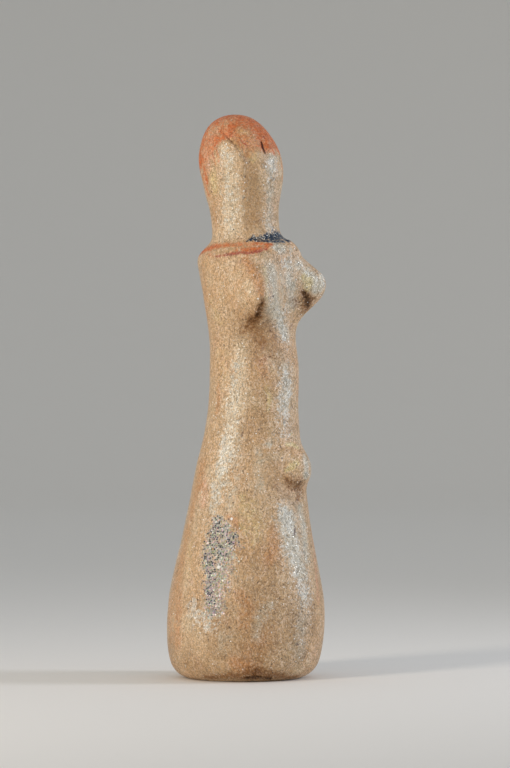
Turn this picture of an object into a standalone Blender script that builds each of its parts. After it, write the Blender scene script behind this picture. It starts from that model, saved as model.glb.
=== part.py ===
"""Standing ritual doll, squeezed and smoothed by hand from one lump of clay and fired.

It is one solid: an armless post of a body that swells to a flat foot, a plain knob of a
head, a collar where the neck was pinched in, two cone breasts and a navel boss.
Metres, +Z up. The origin is the middle of the flat underside. The figure faces -Y, and
its own left side is +X. Run it with: blender --background --python part.py
"""

import math

import bmesh
import bpy
from mathutils import Vector

# Driving sizes, in metres
HEIGHT = 0.180
RIGHT_BREAST_RISE = 0.0092
RIGHT_BREAST_HALF_WIDTH = 0.0070
RIGHT_BREAST_FALL = (0.0078, 0.0060)    # reach of the slope above the tip and below it
LEFT_BREAST_RISE = 0.0096
LEFT_BREAST_HALF_WIDTH = 0.0064
LEFT_BREAST_FALL = (0.0053, 0.0078)
NAVEL_RISE = 0.0042
NAVEL_HALF_WIDTH = 0.0062
NAVEL_FALL = (0.0062, 0.0048)
CREASE_DEPTH = 0.0006
CREASE_WIDTH = 0.0010
LUMP_DEPTH = 0.00020
COLLAR_RISE = 0.0012                # how far the collar's high side stands above its middle

# The outline, from the underside to the crown. Each row is a height, a half width, how far
# the middle leans to the right of someone who faces the seen side, and the number of rings
# up to the next row. All but the rings are thousandths of HEIGHT.
OUTLINE = (
    (0.0, 101.0, 0.0, 2),       # edge of the flat underside
    (8.0, 118.0, 0.5, 1),       # rounding of the foot
    (20.0, 128.5, 1.0, 2),
    (48.0, 136.0, 2.0, 3),
    (90.0, 139.8, 3.0, 3),      # foot at its widest
    (145.0, 137.0, 4.0, 3),
    (205.0, 126.0, 5.0, 3),
    (262.0, 114.5, 6.0, 3),     # hips
    (318.0, 106.0, 8.5, 4),
    (375.0, 96.0, 11.0, 5),     # navel
    (432.0, 85.5, 15.0, 3),
    (490.0, 80.0, 17.5, 2),     # waist
    (546.0, 79.5, 17.5, 3),
    (603.0, 76.0, 14.5, 5),     # under the breasts
    (660.0, 80.0, 11.5, 5),
    (716.0, 85.5, 8.5, 3),
    (744.0, 88.5, 7.5, 2),      # collar edge
    (757.0, 85.5, 8.0, 2),
    (768.0, 76.0, 8.5, 2),      # top of the collar
    (776.0, 65.5, 6.5, 1),
    (783.0, 60.5, 5.5, 1),      # where the neck meets the collar
    (795.0, 59.0, 4.5, 2),
    (830.0, 61.0, 1.0, 2),      # neck
    (859.0, 67.0, -1.5, 3),
    (887.0, 72.5, -2.5, 3),
    (915.0, 74.5, -5.5, 3),     # head at its widest
    (944.0, 69.0, -9.0, 3),
    (972.0, 54.5, -13.0, 2),
    (986.0, 41.0, -14.5, 2),
    (996.0, 24.5, -14.5, 2),
    (1000.0, 0.0, -14.5, 0),    # crown
)
SEEN_SIDE = -50.0       # bearing of the side that the outline was drawn from
DEPTH_SHARE = 0.95      # how deep a section is, against its width

# Where things sit: a bearing in degrees from the front towards the figure's own left, and a
# height in thousandths of HEIGHT
RIGHT_BREAST = (-41.0, 672.0)       # set a little lower than the left one
LEFT_BREAST = (41.0, 698.0)
NAVEL = (14.0, 372.0)
CREASES = (
    ((-80.0, 970.0), (-36.0, 913.0)),   # slanting crease on the right of the brow
    ((-12.0, 952.0), (-6.0, 924.0)),    # short cut near the middle of the brow
)
COLLAR_BAND = (755.0, 26.0)         # middle and reach of the stretch that tilts
COLLAR_HIGH_SIDE = 40.0             # bearing of the side where it stands higher

SEGMENTS = 52           # columns round the body
CONE_SHARPNESS = 2.6
FRONT_CROWDING = 0.30   # how far the columns crowd round to the front, from 0 to 1


def bearing_vector(degrees):
    """Level unit vector at a bearing from the front, towards the figure's left."""
    angle = math.radians(degrees)
    return Vector((math.sin(angle), -math.cos(angle), 0.0))


def turn_between(degrees, other):
    """Smallest signed turn from one bearing to another, in radians."""
    return math.radians((degrees - other + 180.0) % 360.0 - 180.0)


def swell(distance, reach):
    """A soft swelling: 1 at the middle, falling away beyond its reach."""
    return math.exp(-0.5 * (distance / reach) ** 2)


def cone(across, above, half_width, fall):
    """A rounded cone: 1 at the tip and a half where the widths given are reached."""
    slope = fall[0] if above > 0 else fall[1]
    return 0.5 ** (math.hypot(across / half_width, above / slope) ** CONE_SHARPNESS)


def along_curve(before, start, end, after, share):
    """Point on the Catmull-Rom curve from start to end."""
    values = []
    for a, b, c, d in zip(before, start, end, after):
        values.append(
            0.5
            * (
                2 * b
                + (c - a) * share
                + (2 * a - 5 * b + 4 * c - d) * share**2
                + (3 * b - a - 3 * c + d) * share**3
            )
        )
    return values


def outline_rings():
    """(height, half width, lean) of each ring in metres, from the underside to the crown."""
    unit = HEIGHT / 1000.0
    points = [tuple(value * unit for value in row[:3]) for row in OUTLINE]
    # The underside runs inwards before the first row, and the crown comes down behind the last.
    inward = (points[0][0], points[0][1] - points[1][0], points[0][2])
    behind = (points[-2][0], -points[-2][1], points[-2][2])
    points = [inward, *points, behind]
    rings = []
    for index, row in enumerate(OUTLINE[:-1]):
        for step in range(row[3]):
            rings.append(along_curve(*points[index : index + 4], step / row[3]))
    return rings


def column_bearings():
    """Bearings of the columns, closer together at the front, where the carving is."""
    bearings = []
    for index in range(SEGMENTS):
        turn = 2 * math.pi * index / SEGMENTS
        bearings.append(math.degrees(turn - FRONT_CROWDING * math.sin(turn)))
    return bearings


def lump(bearing, height):
    """Slow unevenness left by the maker's hands, in metres."""
    turn = math.radians(bearing)
    level = height / HEIGHT
    waves = (
        math.sin(2 * turn + 9.0 * level)
        + 0.7 * math.sin(3 * turn - 14.0 * level + 1.3)
        + 0.5 * math.sin(turn + 23.0 * level + 0.4)
    )
    # Nothing moves at the flat underside or the crown.
    return LUMP_DEPTH * waves * math.sin(math.pi * level) ** 0.5


def crease_cut(bearing, height, half_width):
    """Depth of the cuts in the head at a point of it, in metres."""
    depth = 0.0
    for start, end in CREASES:
        (x1, y1), (x2, y2) = (
            (turn_between(bearing_at, bearing) * half_width, level * HEIGHT / 1000.0 - height)
            for bearing_at, level in (start, end)
        )
        run_x, run_y = x2 - x1, y2 - y1
        share = -(x1 * run_x + y1 * run_y) / (run_x**2 + run_y**2)
        share = min(1.0, max(0.0, share))
        gap = math.hypot(x1 + share * run_x, y1 + share * run_y)
        depth = max(depth, CREASE_DEPTH * swell(gap, CREASE_WIDTH))
    return depth


def mounds(bearing, height, half_width):
    """How far the breasts and the navel push a point of the body, as a vector."""
    push = Vector()
    for place, rise, wide, fall in (
        (RIGHT_BREAST, RIGHT_BREAST_RISE, RIGHT_BREAST_HALF_WIDTH, RIGHT_BREAST_FALL),
        (LEFT_BREAST, LEFT_BREAST_RISE, LEFT_BREAST_HALF_WIDTH, LEFT_BREAST_FALL),
        (NAVEL, NAVEL_RISE, NAVEL_HALF_WIDTH, NAVEL_FALL),
    ):
        across = turn_between(bearing, place[0]) * half_width
        above = height - place[1] * HEIGHT / 1000.0
        push += bearing_vector(place[0]) * rise * cone(across, above, wide, fall)
    return push


def surface_point(bearing, ring):
    """The point of the doll's skin on one ring at one bearing."""
    height, half_width, lean = ring
    outward = bearing_vector(bearing)
    side = bearing_vector(SEEN_SIDE + 90.0)
    front = bearing_vector(SEEN_SIDE)
    radius = half_width + lump(bearing, height) - crease_cut(bearing, height, half_width)
    point = side * (lean + radius * outward.dot(side))
    point += front * radius * DEPTH_SHARE * outward.dot(front)
    point += mounds(bearing, height, half_width)
    middle, reach = (value * HEIGHT / 1000.0 for value in COLLAR_BAND)
    rise = COLLAR_RISE * swell(height - middle, reach)
    point.z = height + rise * outward.dot(bearing_vector(COLLAR_HIGH_SIDE))
    return point


def build_body():
    """The doll's closed skin: rings bridged from the foot up, a flat foot and a crown."""
    mesh = bmesh.new()
    bearings = column_bearings()
    loops = []
    for ring in outline_rings():
        loops.append([mesh.verts.new(surface_point(bearing, ring)) for bearing in bearings])
    crown_height, _, crown_lean = (value * HEIGHT / 1000.0 for value in OUTLINE[-1][:3])
    crown = bearing_vector(SEEN_SIDE + 90.0) * crown_lean
    crown.z = crown_height
    top = mesh.verts.new(crown)
    for lower, upper in zip(loops, loops[1:]):
        for i in range(SEGMENTS):
            j = (i + 1) % SEGMENTS
            mesh.faces.new((lower[i], lower[j], upper[j], upper[i]))
    for i in range(SEGMENTS):
        mesh.faces.new((loops[-1][i], loops[-1][(i + 1) % SEGMENTS], top))
    mesh.faces.new(list(reversed(loops[0])))
    bmesh.ops.recalc_face_normals(mesh, faces=mesh.faces)
    return mesh


def fired_clay():
    """Pale sandy earthenware with a dry, slightly burnished skin."""
    material = bpy.data.materials.new("fired_clay")
    material.use_nodes = True
    shader = material.node_tree.nodes["Principled BSDF"]
    shader.inputs["Base Color"].default_value = (0.52, 0.34, 0.19, 1.0)
    shader.inputs["Roughness"].default_value = 0.7
    shader.inputs["Metallic"].default_value = 0.0
    return material


def main():
    for old in list(bpy.data.objects):
        bpy.data.objects.remove(old)
    skin = bpy.data.meshes.new("clay_doll")
    body = build_body()
    body.to_mesh(skin)
    body.free()
    skin.materials.append(fired_clay())
    skin.shade_smooth()
    doll = bpy.data.objects.new("clay_doll", skin)
    bpy.context.scene.collection.objects.link(doll)


main()
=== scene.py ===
import math
from functools import partial

import bpy
import numpy as np
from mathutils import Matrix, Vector, noise
from mathutils.bvhtree import BVHTree


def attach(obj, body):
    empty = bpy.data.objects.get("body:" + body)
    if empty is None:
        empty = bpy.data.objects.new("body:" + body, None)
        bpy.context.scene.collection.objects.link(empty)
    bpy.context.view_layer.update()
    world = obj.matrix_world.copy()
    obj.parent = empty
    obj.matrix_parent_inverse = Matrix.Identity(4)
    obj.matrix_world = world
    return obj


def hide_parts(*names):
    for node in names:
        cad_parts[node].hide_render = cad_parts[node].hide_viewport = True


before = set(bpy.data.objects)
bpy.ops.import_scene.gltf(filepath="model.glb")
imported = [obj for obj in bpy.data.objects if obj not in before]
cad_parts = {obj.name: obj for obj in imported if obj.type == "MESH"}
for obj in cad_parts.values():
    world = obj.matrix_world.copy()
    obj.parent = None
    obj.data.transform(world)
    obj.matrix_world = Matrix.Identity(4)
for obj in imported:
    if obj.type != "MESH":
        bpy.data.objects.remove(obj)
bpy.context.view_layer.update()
print("frame loaded")


# Small helpers

def bearing(degrees):  # level direction, counted from the doll's front towards its own left
    angle = math.radians(degrees)
    return Vector((math.sin(angle), -math.cos(angle), 0))


def hexColour(code):  # sRGB hex to the linear values that shaders want
    parts = [int(code[i:i + 2], 16) / 255 for i in (1, 3, 5)]
    return [v / 12.92 if v <= 0.04045 else ((v + 0.055) / 1.055) ** 2.4 for v in parts] + [1]


def selectOnly(obj):
    bpy.ops.object.select_all(action="DESELECT")
    obj.select_set(True)
    bpy.context.view_layer.objects.active = obj


def addNode(tree, kind, settings={}, inputs={}, out=0):  # inputs take a value or another node's socket
    node = tree.nodes.new("ShaderNode" + kind)
    for name, value in settings.items():
        setattr(node, name, value)
    for name, value in inputs.items():
        if isinstance(value, bpy.types.NodeSocket):
            tree.links.new(value, node.inputs[name])
        else:
            node.inputs[name].default_value = value
    return node.outputs[out]


def softStep(value, low, high):
    share = np.clip((value - low) / (high - low), 0, 1)
    return share * share * (3 - 2 * share)


# Where the photograph stands: the doll's right front, seen level. Places on that side are read
# off the reference picture in its own pixels.
seenView = {
    "bearing": -50,
    "pixel": 0.00032,       # metres on the doll for one pixel
    "axisX": 243.75,        # pixel column of the middle of the underside
    "groundY": 677,         # pixel row of the underside
    "middle": (255, 384),
    "rows": 768,
    "distance": 1.1,
    "sensor": 36,           # mm, along the picture's longer side
}
seenFrom = bearing(seenView["bearing"])
seenRight = bearing(seenView["bearing"] + 90)


def seenPlace(x, y):  # a picture pixel, on the upright plane through the doll's axis
    pixel = seenView["pixel"]
    return seenRight * (x - seenView["axisX"]) * pixel + Vector((0, 0, (seenView["groundY"] - y) * pixel))


# Camera and studio

bpy.ops.object.camera_add(
    location=seenPlace(*seenView["middle"]) + seenFrom * seenView["distance"],
    rotation=(math.pi / 2, 0, math.radians(seenView["bearing"])),
)
camera = bpy.context.object
camera.data.sensor_width = seenView["sensor"]
camera.data.lens = seenView["sensor"] * seenView["distance"] / (seenView["rows"] * seenView["pixel"])
bpy.context.scene.camera = camera
bpy.context.scene.view_settings.view_transform = "Standard"

studio = {
    "floorRadius": 2.2,
    "floorSides": 96,
    "floorDrop": 0.0001,    # so that the paper never shows through the doll's underside
    "wallHeight": 1.1,
    "foldRadius": 0.6,
    "foldSteps": 12,
    "paper": "#efece6",
    "paperRoughness": 0.9,
    "paperShine": 0.2,
    "sky": "#e9edf2",
    "skyStrength": 0.56,
    "gridSpread": 92,       # a grid on each softbox keeps its light off the floor beside it, in degrees
    "aim": (255, 335),      # what the softboxes point at, in picture pixels
    # How far across, ahead of and above that point each stands
    "softboxes": {
        "left softbox": {
            "across": -0.46, "ahead": 0.46, "up": 0.145,
            "size": (0.13, 0.32), "watts": 0.640, "colour": "#fff4e6",
        },
        "right softbox": {
            "across": 0.58, "ahead": 0.00, "up": 0.165,
            "size": (0.14, 0.32), "watts": 0.470, "colour": "#eaf0ff",
        },
    },
}

bpy.ops.object.select_all(action="DESELECT")
bpy.ops.mesh.primitive_circle_add(
    vertices=studio["floorSides"],
    radius=studio["floorRadius"],
    fill_type="NGON",
    location=(0, 0, -studio["floorDrop"]),
)
backdrop = bpy.context.object
backdrop.name = "paper_backdrop"
bpy.ops.object.mode_set(mode="EDIT")
bpy.ops.mesh.select_mode(type="EDGE")
bpy.ops.mesh.select_all(action="SELECT")
bpy.ops.mesh.extrude_region_move(TRANSFORM_OT_translate={"value": (0, 0, studio["wallHeight"])})
bpy.ops.object.mode_set(mode="OBJECT")
middleHeight = studio["wallHeight"] / 2
for face in backdrop.data.polygons:     # the lid that the extrusion leaves
    face.select = len(face.vertices) > 4 and face.center.z > middleHeight
bpy.ops.object.mode_set(mode="EDIT")
bpy.ops.mesh.select_mode(type="FACE")
bpy.ops.mesh.delete(type="ONLY_FACE")
bpy.ops.mesh.select_mode(type="EDGE")
bpy.ops.mesh.select_all(action="DESELECT")
bpy.ops.object.mode_set(mode="OBJECT")
for edge in backdrop.data.edges:        # the fold between floor and wall
    edge.select = all(backdrop.data.vertices[i].co.z < middleHeight for i in edge.vertices)
bpy.ops.object.mode_set(mode="EDIT")
bpy.ops.mesh.bevel(offset=studio["foldRadius"], segments=studio["foldSteps"], profile=0.5)
bpy.ops.object.mode_set(mode="OBJECT")
bpy.ops.object.shade_smooth()

paper = bpy.data.materials.new("matt background paper")
paper.use_nodes = True
paperShader = paper.node_tree.nodes["Principled BSDF"]
paperShader.inputs["Base Color"].default_value = hexColour(studio["paper"])
paperShader.inputs["Roughness"].default_value = studio["paperRoughness"]
paperShader.inputs["Specular IOR Level"].default_value = studio["paperShine"]
backdrop.data.materials.append(paper)

world = bpy.data.worlds.new("studio sky")
bpy.context.scene.world = world
world.use_nodes = True
background = world.node_tree.nodes["Background"]
background.inputs["Color"].default_value = hexColour(studio["sky"])
background.inputs["Strength"].default_value = studio["skyStrength"]

aim = seenPlace(*studio["aim"])
for name, box in studio["softboxes"].items():
    place = aim + seenRight * box["across"] + seenFrom * box["ahead"] + Vector((0, 0, box["up"]))
    turn = (place - aim).to_track_quat("Z", "Y").to_euler()
    bpy.ops.object.light_add(type="AREA", location=place, rotation=turn)
    lamp = bpy.context.object
    lamp.name = name
    lamp.visible_camera = False
    lamp.data.shape = "RECTANGLE"
    lamp.data.size, lamp.data.size_y = box["size"]
    lamp.data.spread = math.radians(studio["gridSpread"])
    lamp.data.energy = box["watts"]
    lamp.data.color = hexColour(box["colour"])[:3]
print("camera and studio set")


# The doll's skin: a copy of the solid, rounded, with the finer relief pressed into it

skinValues = {
    "merge": 0.00001,
    "quadAngle": 60,        # pairs of triangles that lie flatter than this become one face
    "levels": 2,
    "outside": 0.2,         # metres from the axis, well clear of the doll
    "footEase": 0.002,      # the relief fades in over this height, so that the underside stays flat
    # Places worked finer than the rest: picture middle, and reach across and up, in pixels
    "fineZones": (
        ((244, 150), (36, 28)), ((222, 558), (22, 56)), ((248, 248), (50, 13)),
        ((255, 312), (14, 20)), ((308, 298), (12, 14)), ((297, 484), (14, 12)),
    ),
    "lumps": ((0.016, 0.00022), (0.0055, 0.00008)),     # size of the unevenness and its height
    # Strokes of a finger, nail or blade: depth in mm (minus is raised), then picture x and y and
    # half width, all in pixels, at each turn of the way
    "strokes": {
        "brow crease": (0.34, (225, 134.6, 0.9), (230, 139.6, 1.1), (234, 143, 0.9)),
        "brow fill": (-0.45, (236, 146, 2.4), (240, 151, 3.0), (244, 160, 3.0)),
        "brow cut": (0.65, (261.7, 141.5, 0.8), (262.7, 147, 0.9), (265, 153, 0.6)),
        "brow cut lip": (-0.35, (267, 141, 2.6), (269, 148, 3.0), (272, 155, 2.4)),
        "bump over cut": (-0.30, (262.7, 137, 2.0)),
        "dark dot": (0.30, (249.8, 161.7, 1.0)),
        "cheek pit": (0.45, (245.4, 176.6, 1.2)),
        "chin pit": (0.45, (244.4, 198.3, 1.2)),
        "side pit": (0.35, (232.5, 204, 1.2)),
        "brow hollow": (0.25, (252, 160, 6.0), (253, 190, 7.0), (253, 215, 6.0)),
        "collar shoulder": (-0.85, (289, 243, 3.0), (294, 247.5, 3.4), (298, 254, 4.0)),
        "breast ridge": (-0.60, (247, 262, 5.0), (256, 274, 6.5), (260, 285, 6.5), (259, 296, 4.5)),
        "breast nick": (0.40, (256, 306, 1.0), (263, 304.5, 1.0)),
        "chest dot": (0.50, (273, 296.3, 1.1)),
        "chest pit": (0.35, (230.7, 298.7, 1.0)),
        "waist dent": (0.60, (246, 427, 1.8), (242, 437, 2.2), (238, 441, 1.6)),
        "hip dent": (0.40, (232, 478, 2.4), (228, 484, 2.4)),
        "hip pits": (0.35, (223, 492, 1.8), (229, 497, 1.8), (235, 503, 1.6)),
        "navel under edge": (0.55, (284, 487, 3.0), (297, 487.5, 3.4), (307, 486.5, 2.4)),
        "navel boss edge": (-0.30, (286, 447, 4.0), (297, 448, 4.5), (303, 456, 4.0)),
        "navel lower lip": (-0.30, (288, 478, 3.0), (298, 480, 3.0), (307, 478, 3.0)),
        "foot hollow": (0.30, (262, 655, 9.0), (262, 672, 8.0)),
    },
    # Steps where the clay drops away: how far back the raised side reaches, in pixels, then picture
    # x and y and height in mm at each turn. The raised side is the right hand of someone who
    # walks the way. The edge is softened to each side and the raised side stays level for a while.
    "stepEdge": 0.8,
    "stepLevel": 1,
    "steps": {
        "brow facet": (12, (224.4, 133, 0.0), (227.5, 138, 0.42), (235.5, 146.7, 0.50), (240.6, 154, 0.46),
                       (245, 162, 0.26), (244.6, 182, 0.20), (243, 200, 0.16), (244, 232, 0.0)),
    },
    # Rough worn patches: picture middle, reach, grain in metres and depth in mm. They fade out
    # between two shares of the reach and lie a little below the skin around them.
    "patchEdge": (0.6, 1.15),
    "patchShift": 7.0,
    "patchSink": 0.25,
    "patches": {
        "by the foot": ((216, 560), (14, 46), 0.0011, 0.42),
        "on the hip": ((224, 492), (15, 22), 0.0013, 0.42),
    },
}


def seenDistance(points, middle, reach):  # 1 on the edge of an ellipse drawn on the picture
    place = seenPlace(*middle)
    flat = points - np.array(place)
    across = flat @ np.array(seenRight) / (reach[0] * seenView["pixel"])
    up = flat[:, 2] / (reach[1] * seenView["pixel"])
    return np.hypot(across, up)


def readSkin(mesh, what="co"):
    values = np.empty(len(mesh.vertices) * 3)
    mesh.vertices.foreach_get(what, values)
    return values.reshape(-1, 3)


def skinShape(mesh, points):  # what rays are cast at
    return BVHTree.FromPolygons([Vector(p) for p in points], [f.vertices for f in mesh.polygons])


def onSkin(tree, x, y):  # the point of the skin that the camera shows at a picture pixel
    away = (seenPlace(x, y) - camera.location).normalized()
    hit = tree.ray_cast(camera.location, away)[0]
    return np.array(hit if hit is not None else tree.find_nearest(seenPlace(x, y))[0])


def aroundSkin(tree, degrees, heightMm):  # the point of the skin at a bearing, for the hidden side
    away = bearing(degrees)
    start = away * skinValues["outside"] + Vector((0, 0, heightMm / 1000))
    return np.array(tree.ray_cast(start, -away)[0])


def strokeReach(points, stops):  # distance from a stroke, counted in its own half widths
    nearest = np.full(len(points), np.inf)
    for (start, wide), (end, wideEnd) in zip(stops, stops[1:] or stops):
        run = end - start
        length = run @ run or 1         # a single dot has no length
        share = np.clip((points - start) @ run / length, 0, 1)
        gap = np.linalg.norm(points - start - share[:, None] * run, axis=1)
        nearest = np.minimum(nearest, gap / (wide + share * (wideEnd - wide)))
    return nearest


def bell(distance):  # 1 in the middle of a stroke, falling away beyond its half width
    return np.exp(-0.5 * distance ** 2)


def stepHeight(tree, points, reach, stops):  # height in mm that a step adds at each point
    flat = np.stack((points @ np.array(seenRight), points[:, 2]), axis=1) / seenView["pixel"]
    height = np.zeros(len(points))
    edge = skinValues["stepEdge"]
    nearest = np.full(len(points), np.inf)
    way = []
    for x, y, high in stops:
        place = onSkin(tree, x, y)
        way.append((np.array((place @ np.array(seenRight), place[2])) / seenView["pixel"], high))
    for (start, high), (end, highEnd) in zip(way, way[1:]):
        run = end - start
        share = np.clip((flat - start) @ run / (run @ run), 0, 1)
        aside = flat - start - share[:, None] * run
        gap = np.hypot(aside[:, 0], aside[:, 1])
        back = gap * np.sign(run[1] * aside[:, 0] - run[0] * aside[:, 1])
        shape = softStep(back, -edge, edge) * (1 - softStep(back, skinValues["stepLevel"], reach))
        height = np.where(gap < nearest, shape * (high + share * (highEnd - high)), height)
        nearest = np.minimum(nearest, gap)
    return height


def seenStops(tree, stops):
    return [(onSkin(tree, x, y), reach * seenView["pixel"]) for x, y, reach in stops]


def hiddenStops(tree, stops):
    return [(aroundSkin(tree, degrees, heightMm), reachMm / 1000) for degrees, heightMm, reachMm in stops]


def noiseAt(points, size, shift=0.0):
    offset = Vector((shift, shift, shift))
    return np.array([noise.noise(Vector(p) / size + offset) for p in points])


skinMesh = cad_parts["clay_doll"].data.copy()
skinMesh.name = "doll_skin"
skin = bpy.data.objects.new("doll_skin", skinMesh)
bpy.context.collection.objects.link(skin)
skinMesh.materials.clear()
selectOnly(skin)
bpy.ops.object.mode_set(mode="EDIT")
bpy.ops.mesh.select_all(action="SELECT")
bpy.ops.mesh.remove_doubles(threshold=skinValues["merge"])
quadAngle = math.radians(skinValues["quadAngle"])
bpy.ops.mesh.tris_convert_to_quads(face_threshold=quadAngle, shape_threshold=quadAngle)
bpy.ops.object.mode_set(mode="OBJECT")
rounding = skin.modifiers.new("rounding", "SUBSURF")
rounding.levels = rounding.render_levels = skinValues["levels"]
bpy.ops.object.modifier_apply(modifier=rounding.name)

bpy.ops.object.mode_set(mode="EDIT")
bpy.ops.mesh.select_mode(type="FACE")
bpy.ops.mesh.select_all(action="DESELECT")
bpy.ops.object.mode_set(mode="OBJECT")
centres = np.array([f.center for f in skinMesh.polygons])
facing = np.array([f.normal for f in skinMesh.polygons]) @ np.array(seenFrom)
inZone = np.zeros(len(centres), bool)
for middle, reach in skinValues["fineZones"]:
    inZone |= seenDistance(centres, middle, reach) < 1
inZone &= facing > 0
skinMesh.polygons.foreach_set("select", inZone)
bpy.ops.object.mode_set(mode="EDIT")
bpy.ops.mesh.subdivide(number_cuts=1, smoothness=0)
bpy.ops.object.mode_set(mode="OBJECT")

points = readSkin(skinMesh)
normals = readSkin(skinMesh, "normal")
skinTree = skinShape(skinMesh, points)
push = np.zeros(len(points))
for size, height in skinValues["lumps"]:
    push += noiseAt(points, size) * height
for depth, *stops in skinValues["strokes"].values():
    push -= bell(strokeReach(points, seenStops(skinTree, stops))) * depth / 1000
onSeenSide = normals @ np.array(seenFrom) > 0
for reach, *stops in skinValues["steps"].values():
    push += stepHeight(skinTree, points, reach, stops) * onSeenSide / 1000
for middle, reach, grain, depth in skinValues["patches"].values():
    patch = 1 - softStep(seenDistance(points, middle, reach), *skinValues["patchEdge"])
    patch *= onSeenSide
    rough = noiseAt(points, grain, skinValues["patchShift"]) - skinValues["patchSink"]
    push += patch * rough * depth / 1000
push *= softStep(points[:, 2], 0.0, skinValues["footEase"])
points += normals * push[:, None]
skinMesh.vertices.foreach_set("co", points.ravel())
skinMesh.update()
skinMesh.shade_smooth()
print("skin modelled:", len(skinMesh.polygons), "faces")


# Paint, soot and wear, with painted highlights and painted shade, as soft masks on the skin. The material
# breaks their edges up.

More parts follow.
